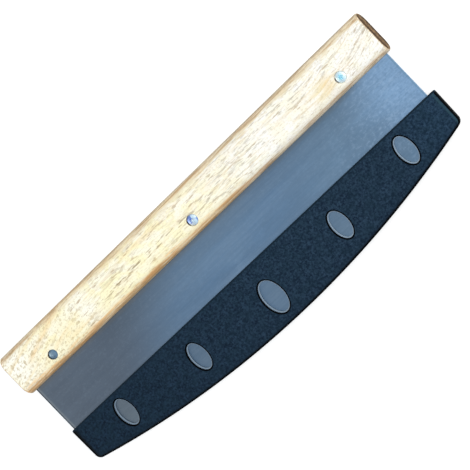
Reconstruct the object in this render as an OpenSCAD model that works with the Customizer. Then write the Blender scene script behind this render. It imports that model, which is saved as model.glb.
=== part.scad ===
// Rocking pizza knife with a wooden handle and a slip-on edge guard, lying on its back.
// X runs along the handle, Y points from the blade to the handle's top, Z points up from the table.
// The origin is below the middle of the whole object, on the plane that the handle's back rests on.

/* [Handle] */
// Length of the wooden handle
handle_len = 356; // [300:1:400]
// Height of the handle, across the blade's plane
handle_h = 33.4; // [30:0.1:40]
// Thickness of the handle, from front to back
handle_t = 20; // [18:0.5:24]
// Radius of the four long edges
handle_edge_r = 8.5; // [6:0.25:9]
// Radius that eases the edges of both end faces
handle_end_r = 1.8; // [1:0.1:3]

/* [Blade] */
// How far the blade stops short of the handle's end, on each side
blade_inset = 3.75; // [2:0.25:8]
// Thickness of the steel
blade_t = 1.5; // [1:0.1:2]
// Depth of the cutting edge below the handle, at its middle
blade_drop = 83.7; // [75:0.1:100]
// Radius of the curved cutting edge
blade_arc_r = 749; // [650:1:1200]
// Height of the tang inside the handle
tang_h = 17; // [15:0.5:20]
// Radius of the blade's two lower corners
blade_corner_r = 5; // [3:0.5:8]
// Height of the ground bevel on each side of the cutting edge
bevel_h = 3.6; // [2:0.1:6]
// Thickness that the bevels leave at the cutting edge
edge_land = 0.2; // [0.1:0.05:0.4]
// Free space between the steel and the slot in the handle, on each face and at the ends
tang_clearance = 0.05; // [0.02:0.01:0.1]

/* [Screw posts] */
// Distance from the handle's end to the outer posts
post_inset = 35.5; // [25:0.5:60]
// Depth of the posts below the tang's top edge
post_depth = 7.1; // [5:0.1:8]
// Radius of a sleeve's plain head
sleeve_head_r = 3.7; // [3.2:0.1:4.4]
// Radius of a screw's head
screw_head_r = 4.2; // [3.2:0.1:4.4]
// Height of a head, with its dome
head_h = 1.6; // [1.4:0.1:2.2]
// Height of the dome on a head
dome_h = 0.8; // [0.3:0.1:1]
// Depth of the dome's top below the handle's face
head_sink = 0.1; // [0.05:0.05:0.5]
// Outer radius of the threaded sleeve
sleeve_r = 2.5; // [2.3:0.1:3]
// Length of the sleeve below its head
sleeve_len = 14; // [12:0.5:15]
// Radius of the screw's shank
shank_r = 1.7; // [1.4:0.1:1.9]
// Length of the shank below the screw's head
shank_len = 11; // [8:0.5:13]
// Free space round the sleeve, the shank and the heads
post_clearance = 0.05; // [0.02:0.01:0.1]
// Length of each arm of the cross recess, from tip to tip
recess_len = 4; // [3:0.1:5]
// Width of each arm of the cross recess
recess_w = 0.9; // [0.6:0.1:1.2]
// Depth of the cross recess below the dome's top
recess_depth = 1; // [0.6:0.1:1.1]
// Radius of the cone in the middle of the recess, at its mouth
recess_cone_r = 1.3; // [0.6:0.1:1.8]

/* [Sheath] */
// Bare blade between the handle and the sheath
bare_blade = 38.7; // [30:0.1:50]
// Thickness of the sheath, from front to back
sheath_t = 7; // [6:0.25:10]
// Wall at each end of the sheath, at its top edge
end_wall = 1.5; // [1.4:0.1:3]
// Wall below the cutting edge
bottom_wall = 3; // [2:0.25:6]
// Free space between the blade and each wall that it slides past
slide_clearance = 0.3; // [0.2:0.05:0.5]
// Free length inside the sheath beside the blade
end_play = 4.5; // [1:0.25:6]
// Free space below the cutting edge
edge_gap = 1; // [0.9:0.1:2]
// Angle by which both ends lean in towards the bottom
end_draft = 1.2; // [0:0.1:1.4]
// Radius of the sheath's two lower corners
corner_r = 5; // [3:0.5:9]
// Radius of the sheath's two upper corners
top_corner_r = 1.2; // [0.5:0.1:1.5]
// Radius of the sheath's outer edges
sheath_edge_r = 1.2; // [0.5:0.1:1.8]

/* [Windows] */
// Distance from the middle window to the inner pair
inner_pitch = 69.2; // [55:0.1:75]
// Distance from the inner pair to the outer pair
outer_pitch = 68; // [55:0.1:70]
// Depth of the middle window's centre below the sheath's top edge
middle_drop = 27.8; // [24:0.1:30]
// Depth of the inner pair below the top edge
inner_drop = 22.9; // [19:0.1:26]
// Depth of the outer pair below the top edge
outer_drop = 16.6; // [15:0.1:20]
// Length of the middle window
middle_len = 27; // [16:0.1:30]
// Width of the middle window
middle_w = 16.2; // [10:0.1:20]
// Length of the four other windows
window_len = 22.4; // [14:0.1:24]
// Width of the four other windows
window_w = 12.8; // [8:0.1:16]

/* [Hidden] */
$fn = 96;
// Extra length by which a cutter passes through what it cuts
over = 1;
// Length by which a shank or a sleeve reaches into its own head
embed = 0.5;
// Margin by which the blade's straight-sided outline stays outside its curved edge
rim = 0.1;
// Steps round the blade's whole circle, along a long arc, round a corner, a window and an edge
CIRCLE_STEPS = 720;
ARC_STEPS = 48;
CORNER_STEPS = 6;
WINDOW_STEPS = 48;
EDGE_STEPS = 3;

blade_w = handle_len - 2 * blade_inset;
post_x = handle_len / 2 - post_inset;
post_y = tang_h - post_depth;
seat_z = handle_t / 2 - head_h - head_sink;
sheath_len = blade_w + 2 * end_wall + end_play;
// The sheath is pushed along until the blade's left side nearly touches it
sheath_shift = end_play / 2 - slide_clearance;
sheath_arc_r = blade_arc_r + edge_gap + bottom_wall;
arc_y = blade_arc_r - blade_drop;
sheath_low = blade_drop + edge_gap + bottom_wall;
// Half of the sheath's width where it is widest, just below its round upper corners
sheath_reach = sheath_len / 2 - corner_inset(top_corner_r, end_draft) + top_corner_r;
left_x = min(-handle_len / 2, sheath_shift - sheath_reach);
right_x = max(handle_len / 2, sheath_shift + sheath_reach);
middle_x = (left_x + right_x) / 2;
middle_y = (handle_h - sheath_low) / 2;

// Points of an arc about a centre, from one angle to another
function arc(cx, cy, r, from, to, steps) =
    [for (i = [0:steps]) let (a = from + (to - from) * i / steps) [cx + r * cos(a), cy + r * sin(a)]];

// How far inside the sharp corner the centre of a round upper corner lies, along X
function corner_inset(corner, draft) = corner * (1 + sin(draft)) / cos(draft);

// Outline with a straight top, leaning ends, round lower corners and a curved bottom.
// The lower corner's centre lies one corner radius inside both the end and the curved bottom,
// and the upper corner's lies its own radius inside both the end and the top.
function rocker(half_w, top, r, corner, draft, top_corner) =
    let (turn = asin((half_w * cos(draft) - corner + (arc_y - top) * sin(draft)) / (r - corner)) - draft,
         cx = (r - corner) * sin(turn),
         cy = arc_y - (r - corner) * cos(turn),
         top_cx = half_w - corner_inset(top_corner, draft),
         right = concat(arc(0, arc_y, r, -90, turn - 90, ARC_STEPS / 2),
                        arc(cx, cy, corner, turn - 90, -draft, CORNER_STEPS),
                        top_corner > 0 ? arc(top_cx, top - top_corner, top_corner, -draft, 90, CORNER_STEPS)
                                       : [[half_w, top]]),
         count = len(right))
    concat([for (i = [0:count - 1]) if (i != ARC_STEPS / 2) right[i]],
           [for (i = [count - 1:-1:1]) if (i != ARC_STEPS / 2) [-right[i][0], right[i][1]]]);

// Moves the parts from the knife's own frame to the object's origin
module place() translate([-middle_x, -middle_y, handle_t / 2]) children();

// Rectangle with round corners
module rounded(width, height, r) {
    square([width - 2 * r, height], center = true);
    square([width, height - 2 * r], center = true);
    for (sx = [-1, 1], sy = [-1, 1])
        translate([sx * (width / 2 - r), sy * (height / 2 - r)]) circle(r = r);
}

// Round rod along X with eased ends
module rod() rotate([0, 90, 0]) rotate_extrude() intersection() {
    rounded(2 * handle_edge_r, handle_len, handle_end_r);
    translate([0, -handle_len / 2]) square([handle_edge_r, handle_len]);
}

// Wooden bar: two slabs and four rods give it round long edges and eased ends
module blank() {
    y = handle_h / 2 - handle_edge_r;
    z = handle_t / 2 - handle_edge_r;
    linear_extrude(2 * z, center = true) rounded(handle_len, handle_h, handle_end_r);
    rotate([90, 0, 0]) linear_extrude(2 * y, center = true) rounded(handle_len, handle_t, handle_end_r);
    for (sy = [-1, 1], sz = [-1, 1]) translate([0, sy * y, sz * z]) rod();
}

// Stands what follows at each of the three posts
module at_posts() for (i = [-1:1]) at_post(i) children();

// Stands what follows at one post, counted from the left
module at_post(i) translate([i * post_x, post_y, 0]) children();

// Radius of the head that a post shows at the front (side 1) or at the back (side -1).
// Only the left post has its sleeve at the front.
function shown_head_r(i, side) = (i < 0) == (side > 0) ? sleeve_head_r : screw_head_r;

module handle() {
    color("burlywood") place() difference() {
        translate([0, handle_h / 2, 0]) blank();
        translate([-blade_w / 2 - tang_clearance, -over, -blade_t / 2 - tang_clearance])
            cube([blade_w + 2 * tang_clearance, over + tang_h + tang_clearance,
                  blade_t + 2 * tang_clearance]);
        at_posts() cylinder(r = sleeve_r + post_clearance, h = handle_t + over, center = true);
        for (i = [-1:1], side = [-1, 1]) at_post(i) rotate([side > 0 ? 0 : 180, 0, 0])
            translate([0, 0, seat_z]) cylinder(r = shown_head_r(i, side) + post_clearance, h = handle_t);
    }
}

// Half of the steel's cross-section, from inside the tang to the cutting edge
module blade_section() polygon([
    [blade_arc_r - blade_drop - tang_h - over, -blade_t / 2],
    [blade_arc_r - bevel_h, -blade_t / 2],
    [blade_arc_r, -edge_land / 2],
    [blade_arc_r, edge_land / 2],
    [blade_arc_r - bevel_h, blade_t / 2],
    [blade_arc_r - blade_drop - tang_h - over, blade_t / 2]
]);

module blade() {
    color("lightsteelblue") place() difference() {
        intersection() {
            translate([0, arc_y, 0]) rotate_extrude($fn = CIRCLE_STEPS) blade_section();
            linear_extrude(blade_t + over, center = true)
                polygon(rocker(blade_w / 2, tang_h, blade_arc_r + rim, blade_corner_r, 0, 0));
        }
        at_posts() cylinder(r = sleeve_r + 2 * post_clearance, h = blade_t + over, center = true);
    }
}

// Round head with a domed top, its underside at zero
module head(r) intersection() {
    cylinder(r = r, h = head_h);
    translate([0, 0, head_h - dome_ball_r(r)]) sphere(r = dome_ball_r(r));
}

// Radius of the ball that gives a head of radius r its dome
function dome_ball_r(r) = (r * r + dome_h * dome_h) / (2 * dome_h);

// Threaded sleeve with a plain head, its head up
module sleeve() translate([0, 0, seat_z]) difference() {
    union() {
        head(sleeve_head_r);
        translate([0, 0, -sleeve_len]) cylinder(r = sleeve_r, h = sleeve_len + embed);
    }
    translate([0, 0, -sleeve_len - over]) cylinder(r = shank_r + post_clearance, h = sleeve_len + over);
}

// Screw with a cross recess, its head up
module screw() translate([0, 0, seat_z]) difference() {
    union() {
        head(screw_head_r);
        translate([0, 0, -shank_len]) cylinder(r = shank_r, h = shank_len + embed);
    }
    translate([0, 0, head_h - recess_depth]) {
        for (turn = [0, 90]) rotate([0, 0, turn]) translate([-recess_len / 2, -recess_w / 2, 0])
            cube([recess_len, recess_w, recess_depth + over]);
        cylinder(r1 = recess_w / 2, r2 = recess_cone_r, h = recess_depth);
    }
}

// The left post is fitted the other way round, so its plain head is at the front
module sleeve_left() color("slategray") place() at_post(-1) sleeve();
module sleeve_middle() color("slategray") place() at_post(0) rotate([180, 0, 0]) sleeve();
module sleeve_right() color("slategray") place() at_post(1) rotate([180, 0, 0]) sleeve();
module screw_left() color("lightgray") place() at_post(-1) rotate([180, 0, 0]) screw();
module screw_middle() color("lightgray") place() at_post(0) screw();
module screw_right() color("lightgray") place() at_post(1) screw();

// Slab of the sheath's outline, drawn in by inset on all sides, half_t thick to the front and to the back
module sheath_slab(inset, half_t) linear_extrude(2 * half_t, center = true)
    polygon(rocker(sheath_len / 2 - inset, -bare_blade - inset, sheath_arc_r - inset,
                   corner_r - inset, end_draft, max(top_corner_r - inset, 0)));

// Outer body of the sheath, with round edges
module sheath_body() hull() for (i = [0:EDGE_STEPS]) {
    a = 90 * i / EDGE_STEPS;
    sheath_slab(sheath_edge_r * (1 - cos(a)), sheath_t / 2 - sheath_edge_r * (1 - sin(a)));
}

// Oval hole through the sheath at a distance from its middle and a depth below its top edge
module window(x, drop, length, width) translate([x, -bare_blade - drop, 0])
    linear_extrude(sheath_t + over, center = true)
        polygon([for (i = [0:WINDOW_STEPS - 1]) let (a = 360 * i / WINDOW_STEPS)
            [width / 2 * cos(a), length / 2 * sin(a)]]);

module sheath() {
    color("darkslategray") place() translate([sheath_shift, 0, 0]) difference() {
        sheath_body();
        linear_extrude(blade_t + 2 * slide_clearance, center = true)
            polygon(rocker((blade_w + end_play) / 2, over - bare_blade, blade_arc_r + edge_gap,
                           blade_corner_r, 0, 0));
        window(0, middle_drop, middle_len, middle_w);
        for (side = [-1, 1]) {
            window(side * inner_pitch, inner_drop, window_len, window_w);
            window(side * (inner_pitch + outer_pitch), outer_drop, window_len, window_w);
        }
    }
}

handle();
blade();
sleeve_left();
sleeve_middle();
sleeve_right();
screw_left();
screw_middle();
screw_right();
sheath();
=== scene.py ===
"""The looks of the rocking pizza knife: pale wood, satin steel, black moulded sheath, white studio.

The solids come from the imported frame. The sheath is modelled again here with finer rounding, and
every other piece keeps its solid and gets its finish. Lengths are in metres, in the frame's axes:
X along the handle, Y from the cutting edge to the handle's top, Z out of the front face.
"""

import math

import bmesh
import bpy
from mathutils import Matrix, Vector


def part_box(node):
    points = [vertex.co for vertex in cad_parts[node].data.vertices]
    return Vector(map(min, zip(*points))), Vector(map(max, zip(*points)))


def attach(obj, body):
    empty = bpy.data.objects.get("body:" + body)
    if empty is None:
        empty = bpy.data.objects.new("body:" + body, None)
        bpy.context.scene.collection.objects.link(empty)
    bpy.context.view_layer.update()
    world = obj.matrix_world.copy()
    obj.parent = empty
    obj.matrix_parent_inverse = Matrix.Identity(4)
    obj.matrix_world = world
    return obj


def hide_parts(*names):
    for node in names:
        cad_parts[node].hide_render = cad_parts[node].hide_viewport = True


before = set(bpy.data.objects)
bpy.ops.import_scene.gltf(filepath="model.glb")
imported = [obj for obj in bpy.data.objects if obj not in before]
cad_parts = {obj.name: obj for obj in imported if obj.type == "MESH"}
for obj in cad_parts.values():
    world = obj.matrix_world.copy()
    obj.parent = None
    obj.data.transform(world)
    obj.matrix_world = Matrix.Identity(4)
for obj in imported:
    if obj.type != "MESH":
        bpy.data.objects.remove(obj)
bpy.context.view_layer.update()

MM = 0.001


def middle(node):
    """The middle of a node's box."""
    return sum(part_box(node), Vector()) / 2


# The sheath's middle, in millimetres, as its solid has it
MIDDLE_X, _, MIDDLE_Z = middle("sheath") / MM

# The sheath's sizes, in millimetres, as in the solid that it replaces
SHEATH_HALF = 178
SHEATH_TOP = -11.55
SHEATH_ARC = 753
ARC_CENTRE = 692.45
SHEATH_CORNER = 5
SHEATH_TOP_CORNER = 1.2
SHEATH_DRAFT = math.radians(1.2)
SHEATH_DEPTH = 3.5
SHEATH_ROUND = 1.2
SLOT_HALF = 176.5
SLOT_ARC = 750
SLOT_CORNER = 5
SLOT_DEPTH = 1.05
SLOT_FLARE = 0.5
# How deep the painted highlight at the slot's mouth goes, and where it has faded out
MOUTH_HIGHLIGHT_DEPTH = 1.1
MOUTH_HIGHLIGHT_FADE = 1.5
# Each window's place along the sheath, depth of its centre, length and width
WINDOWS = [(-137.2, 16.6, 22.4, 12.8), (-69.2, 22.9, 22.4, 12.8), (0, 27.8, 27, 16.2),
           (69.2, 22.9, 22.4, 12.8), (137.2, 16.6, 22.4, 12.8)]
# A window's rounded rim, and the lip, painted pale as a highlight, that slopes in below it
RIM_ROUND = 1.1
LIP_WIDTH = 0.85
LIP_TOP = 2.6
LIP_FOOT = 1.2
# The least radius that the rounding leaves of an upper corner
LEAST_CORNER = 0.15
# How far a cutter stands out of what it cuts
OVER = 1
# How squarely a flat face looks to the front or back, and how near to the outside it may lie
FLAT = 0.9999
NEAR = 0.01
# Into how many steps the curves are divided
ROUND_STEPS = 8
ARC_STEPS = 120
CORNER_STEPS = 12
TOP_CORNER_STEPS = 4
WINDOW_STEPS = 72

# The camera that the photo was taken with: angles, distance and focal length were fitted to its edges.
# The lens and the sensor are in millimetres, as Blender has them.
CAMERA_TARGET = Vector((10.675 * MM, 9.462 * MM, 10 * MM))
CAMERA_YAW = math.radians(16.83)
CAMERA_PITCH = math.radians(-0.7245)
CAMERA_ROLL = math.radians(-43.837)
CAMERA_DISTANCE = 1.350824
CAMERA_LENS = 151.18
SENSOR = 36


def link(name, data):
    """A new object in the scene."""
    piece = bpy.data.objects.new(name, data)
    bpy.context.scene.collection.objects.link(piece)
    return piece


class Nodes:
    """A node tree with short calls for its nodes and links."""

    def __init__(self, tree):
        self.tree = tree

    def add(self, kind, **values):
        """A node of that kind, with its properties set."""
        node = self.tree.nodes.new(kind)
        for key, value in values.items():
            setattr(node, key, value)
        return node

    def wire(self, source, target):
        """A link between two sockets."""
        self.tree.links.new(source, target)

    def split(self, output):
        """The three parts of the object's coordinates, of its normal or of the sky's direction."""
        parts = self.add("ShaderNodeSeparateXYZ")
        self.wire(self.add("ShaderNodeTexCoord").outputs[output], parts.inputs["Vector"])
        return parts.outputs["X"], parts.outputs["Y"], parts.outputs["Z"]

    def noise(self, scale, detail=3, roughness=0.5, distortion=0.0, shift=(0, 0, 0), vector=None):
        """A noise whose grains per metre along each axis are given by scale."""
        mapping = self.add("ShaderNodeMapping")
        mapping.inputs["Scale"].default_value = scale
        mapping.inputs["Location"].default_value = shift
        self.wire(vector or self.add("ShaderNodeTexCoord").outputs["Object"], mapping.inputs["Vector"])
        node = self.add("ShaderNodeTexNoise")
        for key, value in (("Scale", 1), ("Detail", detail), ("Roughness", roughness),
                           ("Distortion", distortion)):
            node.inputs[key].default_value = value
        self.wire(mapping.outputs["Vector"], node.inputs["Vector"])
        return node.outputs["Fac"]

    def ramp(self, source, low, high, start=0.0, end=1.0):
        """A smooth change from start to end while source goes from low to high."""
        node = self.add("ShaderNodeMapRange", interpolation_type="SMOOTHSTEP")
        for key, value in (("From Min", low), ("From Max", high), ("To Min", start), ("To Max", end)):
            node.inputs[key].default_value = value
        self.wire(source, node.inputs["Value"])
        return node.outputs["Result"]

    def math(self, operation, first, second=0.0):
        """Arithmetic on two factors, either of which may be a number."""
        node = self.add("ShaderNodeMath", operation=operation)
        for socket, value in zip(node.inputs, (first, second)):
            if isinstance(value, (int, float)):
                socket.default_value = value
            else:
                self.wire(value, socket)
        return node.outputs["Value"]

    def product(self, *factors):
        """All the factors multiplied."""
        result = factors[0]
        for factor in factors[1:]:
            result = self.math("MULTIPLY", result, factor)
        return result

    def hump(self, source, centre, width, height=1.0):
        """A bell curve that is that high where source is at the centre."""
        place = self.math("MULTIPLY", self.math("SUBTRACT", source, centre), 1 / width)
        bell = self.math("POWER", math.e, self.product(place, place, -1))
        return self.math("MULTIPLY", bell, height)

    def mix(self, factor, first, second):
        """A mix of two colours, either of which may be a colour's numbers."""
        node = self.add("ShaderNodeMix", data_type="RGBA")
        if isinstance(factor, (int, float)):
            node.inputs["Factor"].default_value = factor
        else:
            self.wire(factor, node.inputs["Factor"])
        for socket, value in zip([s for s in node.inputs if s.type == "RGBA"], (first, second)):
            if isinstance(value, tuple):
                socket.default_value = (*value, 1)
            else:
                self.wire(value, socket)
        return [s for s in node.outputs if s.type == "RGBA"][0]


class Finish(Nodes):
    """A material and its main shader."""

    def __init__(self, name, **fixed):
        self.material = bpy.data.materials.new(name)
        self.material.use_nodes = True
        super().__init__(self.material.node_tree)
        self.shader = self.tree.nodes["Principled BSDF"]
        for key, value in fixed.items():
            self.shader.inputs[key.replace("_", " ")].default_value = value

    def colour(self, source):
        """The base colour."""
        self.wire(source, self.shader.inputs["Base Color"])

    def roughness(self, source):
        """The roughness."""
        self.wire(source, self.shader.inputs["Roughness"])

    def bump(self, height, depth):
        """Relief of that depth in metres."""
        node = self.add("ShaderNodeBump")
        node.inputs["Distance"].default_value = depth
        self.wire(height, node.inputs["Height"])
        self.wire(node.outputs["Normal"], self.shader.inputs["Normal"])


class Wood(Finish):
    """Pale open-grained wood: short dark pores along the bar, tan round edges in painted shade,
    brown end grain.

    Places along the bar and up it are in metres, in the frame's axes.
    """

    def __init__(self):
        super().__init__("pale_wood", Roughness=0.75, Specular_IOR_Level=0.08)
        self.x, self.y, self.z = self.split("Object")
        self.normal_x, self.normal_y, self.normal_z = self.split("Normal")
        self.follow_grain()
        self.figure = self.noise((11, 130, 70), detail=4, roughness=0.55, distortion=0.6,
                                 shift=(3, 1, 7), vector=self.grain)
        self.streaks = self.noise((34, 560, 560), detail=4, roughness=0.6, shift=(8, 3, 4),
                                  vector=self.grain)
        self.dashes = self.noise((135, 780, 780), detail=2, shift=(5, 2, 9), vector=self.grain)
        self.dots = self.noise((400, 480, 480), detail=1, roughness=0.4, shift=(7, 2, 1),
                               vector=self.grain)
        # The wood is yellower at the left and whiter at the right, and its left end is cut otherwise
        self.whiter = self.ramp(self.x, -0.05, 0.07)
        self.left_part = self.ramp(self.x, -0.110, -0.085, 1, 0)
        specks = self.noise((620, 800, 800), detail=2, shift=(2, 2, 1), vector=self.grain)
        near_ends = self.math("ADD", self.ramp(self.x, -0.16, -0.10, 0.55, 0.24),
                              self.ramp(self.x, 0.10, 0.16, 0, 0.14))
        self.speckled = self.math("MULTIPLY", self.ramp(specks, 0.51, 0.66), near_ends)

    def follow_grain(self):
        """The grain runs along the bar, dives at its left end, bends round the right screw and climbs
        beyond it."""
        dive_foot, dive_softness, dive_slope = -0.115, 0.02, 0.13
        bend_middle, bend_width, bend_height = 0.139, 0.011, 0.0022
        climb_foot, climb_slope = 0.142, 0.27
        left = self.math("SUBTRACT", self.x, dive_foot)
        dive = self.math("SQRT", self.math("ADD", self.product(left, left), dive_softness ** 2))
        dive = self.math("MULTIPLY", self.math("SUBTRACT", dive, left), dive_slope)
        bend = self.hump(self.x, bend_middle, bend_width, bend_height)
        climb = self.math("MAXIMUM", self.math("SUBTRACT", self.x, climb_foot), 0)
        climb = self.math("MULTIPLY", climb, climb_slope)
        level = self.math("SUBTRACT", self.math("ADD", self.y, dive), bend)
        self.level = self.math("SUBTRACT", level, climb)
        joined = self.add("ShaderNodeCombineXYZ")
        for socket, part in zip(joined.inputs, (self.x, self.level, self.z)):
            self.wire(part, socket)
        self.grain = joined.outputs["Vector"]

    def planed(self):
        """The pale face, with its yellow parts, its figure and its faint streaks."""
        x = self.x
        hue = self.noise((120, 170, 170), detail=2, shift=(4, 6, 2))
        tone = self.mix(self.whiter, (0.995, 0.972, 0.81), (0.985, 0.98, 0.94))
        yellow = self.math("MULTIPLY", self.ramp(hue, 0.40, 0.58, 1, 0),
                           self.ramp(self.whiter, 0, 1, 0.8, 0.25))
        yellows = self.mix(self.ramp(x, -0.11, -0.08), (0.99, 0.92, 0.61), (0.99, 0.94, 0.61))
        tone = self.mix(yellow, tone, yellows)
        low = self.product(self.ramp(self.y, 0.033, 0.053, 0.5, 0), self.ramp(x, 0.0, 0.09, 1, 0))
        tone = self.mix(low, tone, (0.99, 0.93, 0.62))
        pale = self.math("ADD", self.hump(x, -0.170, 0.013, 0.75), self.hump(x, -0.101, 0.009, 0.6))
        tone = self.mix(pale, tone, (1.0, 0.995, 0.94))
        tone = self.mix(self.hump(x, -0.122, 0.008, 0.35), tone, (0.99, 0.92, 0.60))
        amount = self.product(self.ramp(self.figure, 0.49, 0.70, 0, 0.62),
                              self.ramp(self.whiter, 0, 1, 1, 0.55))
        tone = self.mix(amount, tone, self.mix(self.whiter, (0.93, 0.76, 0.45), (0.90, 0.79, 0.57)))
        amount = self.product(self.ramp(self.streaks, 0.49, 0.70, 0, 0.42),
                              self.ramp(self.left_part, 0, 1, 1, 0.35))
        return self.mix(amount, tone, (0.70, 0.52, 0.30))

    def stained(self, tone):
        """A soft orange band rises across the left end, and a stain lies beside the right screw."""
        x, y = self.x, self.y
        slope = self.math("MULTIPLY", self.math("ADD", x, 0.1595), 0.35)
        band = self.product(self.hump(self.math("SUBTRACT", y, slope), 0.0445, 0.0022),
                            self.ramp(x, -0.166, -0.155), self.ramp(x, -0.122, -0.110, 1, 0))
        stain = self.product(self.hump(x, 0.1315, 0.0045), self.hump(y, 0.039, 0.006), 0.8)
        broken = self.ramp(self.dashes, 0.35, 0.6, 0.75, 0.35)
        halo = self.product(self.hump(x, 0.127, 0.010), self.hump(y, 0.0405, 0.008),
                            self.ramp(self.streaks, 0.40, 0.60, 0.1, 0.75))
        tone = self.mix(halo, tone, (0.90, 0.79, 0.50))
        return self.mix(self.product(self.math("MAXIMUM", band, stain), broken), tone,
                        (0.90, 0.66, 0.36))

    def pored(self, tone):
        """Pores: dots towards the left end, dashes elsewhere, most of them along the bar's heart."""
        x = self.x
        tone = self.mix(self.speckled, tone, (0.56, 0.45, 0.27))
        kinds = self.add("ShaderNodeMix")
        self.wire(self.left_part, kinds.inputs["Factor"])
        self.wire(self.ramp(self.dashes, 0.52, 0.65), kinds.inputs["A"])
        self.wire(self.ramp(self.dots, 0.57, 0.65), kinds.inputs["B"])
        heart = self.product(self.hump(self.level, 0.0415, 0.0032), self.ramp(x, -0.125, -0.100),
                             self.ramp(x, -0.02, 0.06, 1, 0))
        patches = self.noise((18, 90, 60), detail=3, shift=(1, 8, 2), vector=self.grain)
        patches = self.ramp(patches, 0.40, 0.62, 0.2, 1)
        patches = self.math("MAXIMUM", patches, self.math("MULTIPLY", self.left_part, 0.6))
        self.pores = self.product(kinds.outputs["Result"], self.math("MAXIMUM", patches, heart))
        strength = self.math("ADD", self.math("MULTIPLY", heart, 0.34),
                             self.ramp(x, 0, 0.12, 0.44, 0.46))
        strength = self.product(strength, self.ramp(self.left_part, 0, 1, 1, 1.2))
        brown = self.mix(self.whiter, (0.30, 0.20, 0.095), (0.31, 0.265, 0.20))
        brown = self.mix(self.ramp(x, -0.12, -0.09, 1, 0), brown, (0.40, 0.27, 0.09))
        tone = self.mix(self.product(self.pores, strength), tone, brown)
        # A few longer and darker dashes
        bold = self.noise((110, 560, 560), detail=2, shift=(9, 4, 3), vector=self.grain)
        bold = self.product(self.ramp(bold, 0.62, 0.70), self.ramp(x, -0.150, -0.115, 0.4, 1), 0.55)
        return self.mix(bold, tone, self.mix(self.whiter, (0.40, 0.25, 0.12), (0.44, 0.32, 0.19)))

    def painted_edge_shade(self, tone):
        """The round edges are in painted shade, tan and darker than the planed faces, with a ragged border.
        """
        x, normal_y, streaks = self.x, self.normal_y, self.streaks
        underside = self.ramp(normal_y, -0.5, 0.3, 1, 0)
        upside = self.ramp(normal_y, 0.1, 0.4)
        knots = self.noise((26, 200, 200), detail=3, shift=(5, 5, 2))
        fine = self.noise((45, 620, 620), detail=3, roughness=0.6, shift=(3, 7, 5))
        uneven = self.noise((55, 420, 420), detail=3, roughness=0.6, shift=(4, 3, 8))

        # How far a spot counts as part of the face: how squarely it faces out, shifted by noise
        ragged = self.math("MULTIPLY", self.math("SUBTRACT", streaks, 0.5), 0.35)
        below = self.math("MULTIPLY", self.math("SUBTRACT", knots, 0.5), 0.3)
        below = self.math("ADD", below, self.ramp(x, -0.02, 0.07, 0, 0.09))
        above = self.math("MULTIPLY", self.math("SUBTRACT", uneven, 0.5),
                          self.ramp(x, -0.13, -0.09, 0.4, 0.75))
        above = self.math("ADD", above, self.ramp(x, -0.13, -0.09, 0.06, 0.035))
        drift = self.math("ADD", self.product(below, underside), self.product(upside, above))
        facing = self.math("ADD", self.math("ABSOLUTE", self.normal_z),
                           self.math("ADD", ragged, drift))

        # The shoulders beside the edges, orange below and tan above: painted shade, mottled by the grain
        amount = self.product(self.ramp(facing, 0.82, 0.98, 1, 0), underside,
                              self.ramp(x, -0.01, 0.06, 0.6, 0.1), self.ramp(fine, 0.43, 0.60, 0.1, 1.8))
        tone = self.mix(amount, tone, (0.97, 0.68, 0.36))
        amount = self.product(upside, self.ramp(facing, 0.86, 1.0, 1, 0),
                              self.ramp(x, -0.10, 0.03, 0.1, 0.8))
        tone = self.mix(amount, tone, (0.83, 0.72, 0.50))

        # The edges themselves: painted shade, with the grain's streaks, knots and specks
        lower = self.mix(self.ramp(knots, 0.42, 0.58), (0.67, 0.34, 0.125), (0.90, 0.61, 0.335))
        lower = self.mix(self.ramp(x, 0.02, 0.09), lower, (0.90, 0.76, 0.57))
        upper = self.mix(self.ramp(self.figure, 0.42, 0.60), (0.80, 0.68, 0.50), (0.86, 0.68, 0.43))
        upper = self.mix(self.ramp(x, -0.01, 0.05, 0, 0.7), upper, (0.93, 0.80, 0.59))
        tan = self.mix(self.ramp(normal_y, -0.5, 0.5), lower, upper)
        tan = self.mix(self.ramp(streaks, 0.44, 0.60, 0, 0.8), tan, (0.42, 0.25, 0.11))
        tan = self.mix(self.ramp(fine, 0.50, 0.62, 0, 0.55), tan, (0.56, 0.29, 0.11))
        tan = self.mix(self.ramp(fine, 0.36, 0.47, 0.6, 0), tan, (1.0, 0.88, 0.62))
        tan = self.mix(self.speckled, tan, (0.40, 0.29, 0.17))
        tan = self.mix(self.ramp(streaks, 0.28, 0.40, 0.5, 0), tan, (0.97, 0.86, 0.62))
        tone = self.mix(self.ramp(facing, 0.745, 0.89, 0.85, 0), tone, tan)

        # Painted shade: what faces up, down or into the wood is darker,
        # but not the bores of the front's two screws
        dark = self.product(self.ramp(facing, 0.15, 0.55, 0.42, 0), self.ramp(underside, 0, 1, 1, 0.5),
                            self.ramp(x, 0, 0.08, 1, 1.35))
        bore_width = 6 * MM
        for name in ("screw_middle", "screw_right"):
            centre = middle(name)
            bore = self.product(self.hump(x, centre.x, bore_width), self.hump(self.y, centre.y, bore_width))
            dark = self.product(dark, self.ramp(bore, 0.4, 0.5, 1, 0))
        return self.mix(dark, tone, (0.17, 0.12, 0.075))

    def end_grained(self, tone):
        """The sawn ends: brown, with a paler stripe at mid-thickness, dark pores, and painted shade
        at their foot, next to the floor.
        """
        height = self.math("ABSOLUTE", self.math("SUBTRACT", self.z, middle("handle").z))
        stripe = self.ramp(height, 0.0022, 0.0045, 1, 0)
        end_tone = self.mix(stripe, (0.115, 0.064, 0.028), (0.37, 0.235, 0.125))
        end_tone = self.mix(self.ramp(self.dots, 0.42, 0.62, 0, 0.7), end_tone, (0.045, 0.03, 0.018))
        # Painted shade at the foot of the end, next to the floor
        end_tone = self.mix(self.ramp(self.z, 0.001, 0.006, 0.8, 0), end_tone, (0.02, 0.014, 0.01))
        return self.mix(self.ramp(self.math("ABSOLUTE", self.normal_x), 0.78, 0.92), tone, end_tone)


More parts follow.
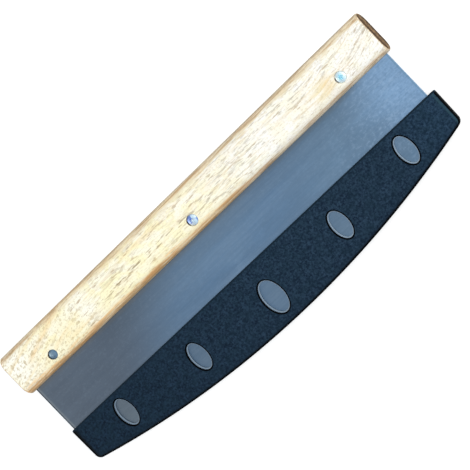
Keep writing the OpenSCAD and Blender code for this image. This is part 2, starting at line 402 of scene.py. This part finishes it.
def wood():
    """The handle's finish."""
    s = Wood()
    s.colour(s.end_grained(s.painted_edge_shade(s.pored(s.stained(s.planed())))))
    s.bump(s.math("SUBTRACT", s.math("MULTIPLY", s.dashes, 0.3), s.pores), 0.09 * MM)
    return s.material


def steel():
    """Satin stainless plate, brushed along the handle, with faint smears and sheared ends;
    its colour holds painted reflections and shade.
    """
    s = Finish("satin_steel", Metallic=1.0, Anisotropic=0.3)
    brushed = s.noise((30, 2400, 2400), detail=4, roughness=0.6)
    smears = s.noise((26, 34, 34), detail=5, roughness=0.6, distortion=0.5)
    x, y, _ = s.split("Object")
    # 1 where the blade is bare, 0 where the sheath covers it
    bare = s.ramp(y, -0.016, -0.011)
    covered = s.ramp(bare, 0, 1, 1, 0)

    # The plate's painted reflection is greyer and duller at the left, bluer in the middle and brighter at
    # the right end, and each change runs slanted across it
    slant = s.math("SUBTRACT", x, s.math("MULTIPLY", y, 0.8))
    tint = s.mix(s.ramp(slant, -0.118, -0.042), (0.147, 0.181, 0.224), (0.199, 0.305, 0.431))
    tint = s.mix(s.ramp(slant, 0.03, 0.11), tint, (0.246, 0.347, 0.446))
    far = s.math("ADD", x, s.math("MULTIPLY", y, 0.3))
    tint = s.mix(s.product(s.ramp(far, 0.117, 0.168), bare), tint, (0.38, 0.53, 0.70))

    # Painted shade: it is darker in the sheath's windows and towards the handle,
    # most of all to the left of the middle
    in_windows = s.math("ADD", s.hump(x, -0.068, 0.03, 0.18), s.hump(x, 0.137, 0.03, -0.08))
    in_windows = s.product(covered, s.math("ADD", in_windows, 0.34))
    by_handle = s.math("ADD", s.ramp(y, 0.010, 0.016, 0, 0.21), s.ramp(y, 0.016, 0.028, 0, 0.26))
    by_handle = s.product(by_handle, s.ramp(x, 0.12, 0.16, 1, 0.2))
    shade = s.product(s.math("MAXIMUM", by_handle, in_windows), s.ramp(x, -0.13, -0.08, 0, 1))
    tint = s.mix(shade, tint, (0.105, 0.138, 0.17))
    # Painted reflection: greyer under the sheath at the left
    painted_grey_reflection = s.product(covered, s.ramp(x, -0.12, -0.09, 1, 0), 0.5)
    tint = s.mix(painted_grey_reflection, tint, (0.19, 0.23, 0.25))

    # Brush marks, hairlines and smears along it, and a fine mottle that is strongest at the right end
    streaks = s.noise((7, 240, 240), detail=4, roughness=0.6, shift=(2, 5, 1))
    brush = s.product(s.ramp(streaks, 0.3, 0.7, 0, 0.18), s.ramp(slant, -0.12, -0.05, 0.55, 1))
    tint = s.mix(brush, tint, (0.33, 0.40, 0.47))
    hairlines = s.noise((60, 900, 900), detail=3, roughness=0.6, shift=(1, 9, 5))
    hairlines = s.product(s.ramp(hairlines, 0.40, 0.65), s.ramp(slant, -0.11, -0.05, 0.04, 0.13))
    tint = s.mix(hairlines, tint, (0.10, 0.16, 0.22))
    tint = s.mix(s.ramp(smears, 0.35, 0.7, 0, 0.2), tint, (0.13, 0.18, 0.24))
    mottle = s.noise((420, 600, 600), detail=3, roughness=0.6, shift=(6, 1, 3))
    lively = s.product(s.ramp(slant, 0.08, 0.15, 0.15, 1), s.ramp(bare, 0, 1, 0.45, 1))
    tint = s.mix(s.product(s.ramp(mottle, 0.50, 0.68), lively, 0.30), tint, (0.56, 0.68, 0.82))
    tint = s.mix(s.product(s.ramp(mottle, 0.35, 0.50, 1, 0), lively, 0.21), tint, (0.14, 0.22, 0.34))

    # Painted shadow and warm reflection of the wood on the steel right below it
    handle_shadow_and_reflection = s.product(s.ramp(y, 0.0230, 0.0262, 0, 0.42), s.ramp(x, 0.13, 0.16, 1, 0))
    tint = s.mix(handle_shadow_and_reflection, tint, (0.18, 0.175, 0.16))
    # The sheared edge at the left is dark, a painted highlight beside it, and that at the right is fainter
    left_end, right_end = (corner.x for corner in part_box("blade"))
    tint = s.mix(s.hump(x, left_end + 1.5 * MM, 0.6 * MM, 0.45), tint, (0.40, 0.44, 0.44))
    tint = s.mix(s.ramp(x, left_end + 0.5 * MM, left_end + 1.0 * MM, 0.8, 0), tint, (0.04, 0.05, 0.06))
    tint = s.mix(s.hump(x, right_end - 0.9 * MM, 0.5 * MM, 0.5), tint, (0.20, 0.33, 0.40))
    s.colour(tint)
    s.roughness(s.math("ADD", s.ramp(smears, 0.3, 0.7, 0.30, 0.35), s.ramp(brushed, 0.3, 0.7, -0.02, 0.02)))
    s.bump(brushed, 0.01 * MM)
    return s.material


def turned_metal(name, colour, patch, roughness, heart=None):
    """Plated steel of the fasteners, with fine scratches and patches of another tint; on the middle
    screw the bright patches are a painted reflection.

    heart is a node and the colour in the middle of its head.
    """
    s = Finish(name, Metallic=1.0)
    scratches = s.noise((1500, 1500, 1500), detail=3)
    patches = s.noise((230, 230, 230), detail=1)
    tone = s.mix(s.ramp(patches, 0.45, 0.55), colour, patch)
    if heart:
        node, inner_colour = heart
        x, y, _ = s.split("Object")
        centre = middle(node)
        reach = 2.6 * MM
        near = s.product(s.hump(x, centre.x, reach), s.hump(y, centre.y, reach), 0.8)
        tone = s.mix(near, tone, inner_colour)
    s.colour(s.mix(s.ramp(scratches, 0.3, 0.7, 0, 0.25), tone, tuple(0.7 * c for c in colour)))
    s.roughness(s.ramp(scratches, 0.3, 0.7, roughness, roughness + 0.1))
    s.bump(scratches, 0.02 * MM)
    return s.material


def grained_plastic():
    """Matte black moulding with a fine spark-eroded grain, with painted shade along its rim and left end
    and a painted highlight down its right end.
    """
    s = Finish("grained_black_plastic", Specular_IOR_Level=0.09)
    grain = s.noise((700, 700, 700), detail=3, roughness=0.7)
    clouds = s.noise((150, 150, 150), detail=4, roughness=0.6)
    x, y, _ = s.split("Object")
    central = s.ramp(x, -0.19, 0.06)
    right = s.ramp(x, 0.12, 0.17)
    dark = s.mix(central, (0.0, 0.005, 0.014), (0.0015, 0.0095, 0.025))
    dark = s.mix(right, dark, (0.002, 0.013, 0.032))
    light = s.mix(central, (0.009, 0.028, 0.056), (0.023, 0.051, 0.089))
    light = s.mix(right, light, (0.026, 0.060, 0.108))
    tone = s.mix(s.ramp(grain, 0.34, 0.69), dark, light)
    tone = s.mix(s.ramp(clouds, 0.35, 0.65, 0, 0.45), tone, (0.006, 0.022, 0.038))
    # Painted shade: it is darker towards the curved rim
    reach = s.math("SUBTRACT", x, MIDDLE_X * MM)
    rise = s.math("SUBTRACT", y, ARC_CENTRE * MM)
    radius = s.math("SQRT", s.math("ADD", s.product(reach, reach), s.product(rise, rise)))
    inward = s.math("SUBTRACT", SHEATH_ARC * MM, radius)
    tone = s.mix(s.ramp(inward, 2 * MM, 7 * MM, 0.22, 0), tone, (0.001, 0.008, 0.018))
    tone = s.mix(s.ramp(inward, 1.3 * MM, 2.3 * MM, 0.8, 0), tone, (0.0, 0.001, 0.003))
    # A painted highlight runs down the right end
    tone = s.mix(s.hump(reach, 0.1755, 0.0008, 0.7), tone, (0.03, 0.075, 0.10))
    # Painted shade, near black, along the left end
    s.colour(s.mix(s.ramp(reach, -0.1762, -0.1735, 1, 0), tone, (0.0, 0.001, 0.002)))
    s.roughness(s.ramp(grain, 0.3, 0.7, 0.62, 0.5))
    s.bump(grain, 0.1 * MM)
    return s.material


def smooth_plastic():
    """The same moulding where the tool was polished: its rounded edges and walls."""
    s = Finish("smooth_black_plastic", Specular_IOR_Level=0.03)
    grain = s.noise((500, 500, 500), detail=2)
    tone = s.mix(s.ramp(grain, 0.3, 0.7), (0.0, 0.0005, 0.001), (0.0005, 0.001, 0.002))
    # A painted highlight makes the slot's mouth paler where the blade goes in
    mouth = s.ramp(s.split("Object")[1], (SHEATH_TOP - MOUTH_HIGHLIGHT_FADE) * MM, (SHEATH_TOP - MOUTH_HIGHLIGHT_DEPTH) * MM)
    s.colour(s.mix(mouth, tone, (0.009, 0.020, 0.034)))
    s.roughness(s.ramp(grain, 0.3, 0.7, 0.6, 0.68))
    return s.material


def painted_lip_highlight():
    """The windows' lips, painted pale as a highlight and reflection of the steel that they lie against,
    and brighter at the right as painted reflection.
    """
    s = Finish("painted_lip_highlight", Specular_IOR_Level=0.1)
    grain = s.noise((500, 500, 500), detail=2)
    tone = s.mix(s.ramp(s.split("Object")[0], -0.15, 0.15), (0.21, 0.28, 0.36), (0.28, 0.37, 0.475))
    s.colour(s.mix(s.ramp(grain, 0.3, 0.7, 0, 0.3), tone, (0.17, 0.22, 0.28)))
    s.roughness(s.ramp(grain, 0.3, 0.7, 0.4, 0.48))
    return s.material


def dress(node, material):
    """Gives a CAD node its finish."""
    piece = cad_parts[node]
    piece.data.materials.clear()
    piece.data.materials.append(material)


def arc(centre_x, centre_y, radius, start, end, steps):
    """Points of an arc about a centre, without its last point."""
    return [(centre_x + radius * math.cos(start + (end - start) * i / steps),
             centre_y + radius * math.sin(start + (end - start) * i / steps)) for i in range(steps)]


def rocker(half, top, radius, corner, draft, top_corner=0):
    """Outline with a straight top, leaning ends, round corners and a curved bottom."""
    inner = radius - corner
    lean = half * math.cos(draft) - corner + (ARC_CENTRE - top) * math.sin(draft)
    turn = math.asin(lean / inner) - draft
    down = math.radians(-90)
    centre_x = inner * math.sin(turn)
    centre_y = ARC_CENTRE - inner * math.cos(turn)
    right = arc(0, ARC_CENTRE, radius, down, down + turn, ARC_STEPS // 2)
    right += arc(centre_x, centre_y, corner, down + turn, -draft, CORNER_STEPS)
    right.append((centre_x + corner * math.cos(draft), centre_y - corner * math.sin(draft)))
    if top_corner:
        top_x = half - top_corner * (1 + math.sin(draft)) / math.cos(draft)
        right += arc(top_x, top - top_corner, top_corner, -draft, math.radians(90), TOP_CORNER_STEPS)
        right.append((top_x, top))
    else:
        right.append((half, top))
    return right + [(-x, y) for x, y in reversed(right[1:])]


def oval(length, width, grow):
    """Outline of a window, grown on all sides."""
    return [((width / 2 + grow) * math.cos(a), (length / 2 + grow) * math.sin(a))
            for a in (math.tau * i / WINDOW_STEPS for i in range(WINDOW_STEPS))]


def quarter(radius):
    """Steps of a quarter round, from the wall to the face, as inset and depth below the face."""
    angles = [math.radians(90) * i / ROUND_STEPS for i in range(ROUND_STEPS + 1)]
    return [(radius * (1 - math.cos(a)), radius * (1 - math.sin(a))) for a in angles]


def both_sides(levels):
    """Levels in front of the mid-plane, joined to the same ones behind it, from back to front.

    Each is a height and the outline or inset that belongs to it.
    """
    return [(-height, shape) for height, shape in reversed(levels)] + levels


def loft(name, rings, materials, lip_below=0, offset=(0, 0)):
    """A closed solid through rings of points, each a height above the mid-plane and an outline.

    Its sides have the first material, or the second up to lip_below from the mid-plane.
    """
    mesh = bmesh.new()
    shift_x, shift_y = MIDDLE_X + offset[0], offset[1]
    loops = [[mesh.verts.new(((shift_x + x) * MM, (shift_y + y) * MM, (MIDDLE_Z + height) * MM))
              for x, y in outline] for height, outline in rings]
    count = len(loops[0])
    for k in range(len(rings) - 1):
        near_middle = max(abs(rings[k][0]), abs(rings[k + 1][0])) <= lip_below
        for i in range(count):
            j = (i + 1) % count
            face = mesh.faces.new((loops[k][i], loops[k][j], loops[k + 1][j], loops[k + 1][i]))
            face.material_index = int(near_middle)
            face.smooth = True
    mesh.faces.new(list(reversed(loops[0])))
    mesh.faces.new(loops[-1])
    bmesh.ops.recalc_face_normals(mesh, faces=mesh.faces)
    data = bpy.data.meshes.new(name)
    mesh.to_mesh(data)
    mesh.free()
    for material in materials:
        data.materials.append(material)
    return link(name, data)


def carve(piece, cutters):
    """Cuts the cutters out of the piece and throws them away."""
    for cutter in cutters:
        modifier = piece.modifiers.new(cutter.name, "BOOLEAN")
        modifier.operation = "DIFFERENCE"
        modifier.solver = "EXACT"
        modifier.material_mode = "TRANSFER"
        modifier.object = cutter
    graph = bpy.context.evaluated_depsgraph_get()
    carved = bpy.data.meshes.new_from_object(piece.evaluated_get(graph))
    piece.modifiers.clear()
    piece.data = carved
    for cutter in cutters:
        bpy.data.objects.remove(cutter)


def sheath():
    """The slip-on edge guard with its slot and five oval windows."""
    grained = grained_plastic()
    smooth = smooth_plastic()
    lip = painted_lip_highlight()

    levels = both_sides([(SHEATH_DEPTH - below, inset) for inset, below in quarter(SHEATH_ROUND)])
    body = loft("sheath_shell", [(height, rocker(SHEATH_HALF - inset, SHEATH_TOP - inset, SHEATH_ARC - inset,
                                                 SHEATH_CORNER - inset, SHEATH_DRAFT,
                                                 max(SHEATH_TOP_CORNER - inset, LEAST_CORNER)))
                                 for height, inset in levels], [smooth, grained, lip])

    inside = rocker(SLOT_HALF, SHEATH_TOP + OVER, SLOT_ARC, SLOT_CORNER, 0)
    cutters = [loft("slot", [(-SLOT_DEPTH, inside), (SLOT_DEPTH, inside)], [smooth])]
    # The slot's mouth flares towards the handle
    deep, flush = [[(side * SLOT_HALF, SHEATH_TOP + y)
                    for side, y in ((-1, OVER), (-1, -depth), (1, -depth), (1, OVER))]
                   for depth in (SLOT_FLARE, 0)]
    cutters.append(loft("mouth", both_sides([(SLOT_DEPTH, deep), (SLOT_DEPTH + SLOT_FLARE, flush)]),
                        [smooth]))
    # Each window narrows to a sloping lip, painted pale as a highlight, below its black rounded rim
    rim = [(SHEATH_DEPTH - below, inset) for inset, below in quarter(RIM_ROUND)]
    levels = both_sides([(LIP_FOOT, -LIP_WIDTH), (LIP_TOP, 0)] + rim + [(SHEATH_DEPTH + OVER, RIM_ROUND)])
    for number, (x, drop, length, width) in enumerate(WINDOWS):
        rings = [(height, oval(length, width, grow)) for height, grow in levels]
        cutters.append(loft("window_%d" % number, rings, [smooth, lip], LIP_TOP, (x, SHEATH_TOP - drop)))
    carve(body, cutters)
    for face in body.data.polygons:
        if abs(face.normal.z) > FLAT:
            face.use_smooth = False
            if abs(face.center.z / MM - MIDDLE_Z) > SHEATH_DEPTH - NEAR:
                face.material_index = 1
    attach(body, "sheath")
    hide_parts("sheath")


def camera():
    """The photo's own view: from the front, a little to the right, and rolled."""
    data = bpy.data.cameras.new("camera")
    data.lens = CAMERA_LENS
    data.sensor_width = SENSOR
    data.clip_end = 20
    toward = Vector((math.cos(CAMERA_PITCH) * math.sin(CAMERA_YAW),
                     -math.sin(CAMERA_PITCH),
                     math.cos(CAMERA_PITCH) * math.cos(CAMERA_YAW)))
    level = Vector((math.cos(CAMERA_YAW), 0, -math.sin(CAMERA_YAW)))
    upright = toward.cross(level)
    right = math.cos(CAMERA_ROLL) * level + math.sin(CAMERA_ROLL) * upright
    up = math.cos(CAMERA_ROLL) * upright - math.sin(CAMERA_ROLL) * level
    piece = link("camera", data)
    place = Matrix((right, up, toward)).transposed().to_4x4()
    place.translation = CAMERA_TARGET + toward * CAMERA_DISTANCE
    piece.matrix_world = place
    bpy.context.scene.camera = piece


def lamp(name, place, size, power, colour):
    """A square soft box that points at the object."""
    data = bpy.data.lights.new(name, "AREA")
    data.size = size
    data.energy = power
    data.color = colour
    piece = link(name, data)
    piece.location = place
    piece.rotation_euler = (-Vector(place)).to_track_quat("-Z", "Y").to_euler()


def shown(s):
    """1 for what the camera sees, also in a reflection or through glass, and 0 for soft light."""
    path = s.add("ShaderNodeLightPath")
    mirrored = s.math("MAXIMUM", path.outputs["Is Glossy Ray"], path.outputs["Is Transmission Ray"])
    return s.math("MAXIMUM", path.outputs["Is Camera Ray"], mirrored)


def sky():
    """Soft surroundings: bright overhead, cool to the right, grey to the left, and white where seen."""
    world = bpy.data.worlds.new("studio")
    world.use_nodes = True
    bpy.context.scene.world = world
    s = Nodes(world.node_tree)
    x, _, z = s.split("Generated")
    high = s.mix(s.ramp(x, -0.42, -0.10), (0.42, 0.45, 0.50), (0.66, 0.84, 1.02))
    dome = s.mix(s.ramp(z, 0.1, 0.9), (0.34, 0.34, 0.34), high)
    backdrop = s.math("MULTIPLY", shown(s), s.ramp(z, 0.13, 0.30, 1, 0))
    s.wire(s.mix(backdrop, dome, (1, 1, 1)), world.node_tree.nodes["Background"].inputs["Color"])


def floor():
    """A pale floor that the camera sees as white, and that keeps the object's shadow."""
    half = 6
    data = bpy.data.meshes.new("floor")
    data.from_pydata([(-half, -half, 0), (half, -half, 0), (half, half, 0), (-half, half, 0)], [],
                     [(0, 1, 2, 3)])
    piece = link("floor", data)
    s = Finish("white_floor", Roughness=0.9, Base_Color=(0.6, 0.6, 0.6, 1))
    glow = s.add("ShaderNodeEmission")
    glow.inputs["Strength"].default_value = 0.6
    seen = s.add("ShaderNodeAddShader")
    s.wire(glow.outputs["Emission"], seen.inputs[0])
    s.wire(s.shader.outputs["BSDF"], seen.inputs[1])
    mixed = s.add("ShaderNodeMixShader")
    s.wire(shown(s), mixed.inputs["Fac"])
    s.wire(s.shader.outputs["BSDF"], mixed.inputs[1])
    s.wire(seen.outputs["Shader"], mixed.inputs[2])
    s.wire(mixed.outputs["Shader"], s.tree.nodes["Material Output"].inputs["Surface"])
    data.materials.append(s.material)


bpy.context.scene.view_settings.view_transform = "Standard"
camera()
sky()
floor()
lamp("key", place=(1.35, 0.15, 1.35), size=1.2, power=20, colour=(1, 0.84, 0.64))
lamp("fill", place=(-1.6, 0.2, 1.1), size=1.0, power=14, colour=(1, 0.86, 0.70))

dress("handle", wood())
dress("blade", steel())
# The three screws are one plated steel; their different colours are painted reflections
dress("screw_left", turned_metal("plated_steel_reflection_left", colour=(0.45, 0.50, 0.56),
                                 patch=(0.60, 0.68, 0.75), roughness=0.3))
dress("screw_middle", turned_metal("plated_steel_reflection_middle", colour=(0.24, 0.36, 0.74),
                                   patch=(0.86, 0.97, 1.0), roughness=0.35))
dress("screw_right", turned_metal("plated_steel_reflection_right", colour=(0.80, 0.90, 1.0),
                                  patch=(0.94, 1.0, 1.0), roughness=0.45,
                                  heart=("screw_right", (0.32, 0.83, 1.0))))
plain = turned_metal("plain_steel", colour=(0.13, 0.21, 0.30), patch=(0.21, 0.31, 0.40), roughness=0.45)
for side in ("left", "middle", "right"):
    dress("sleeve_" + side, plain)
sheath()
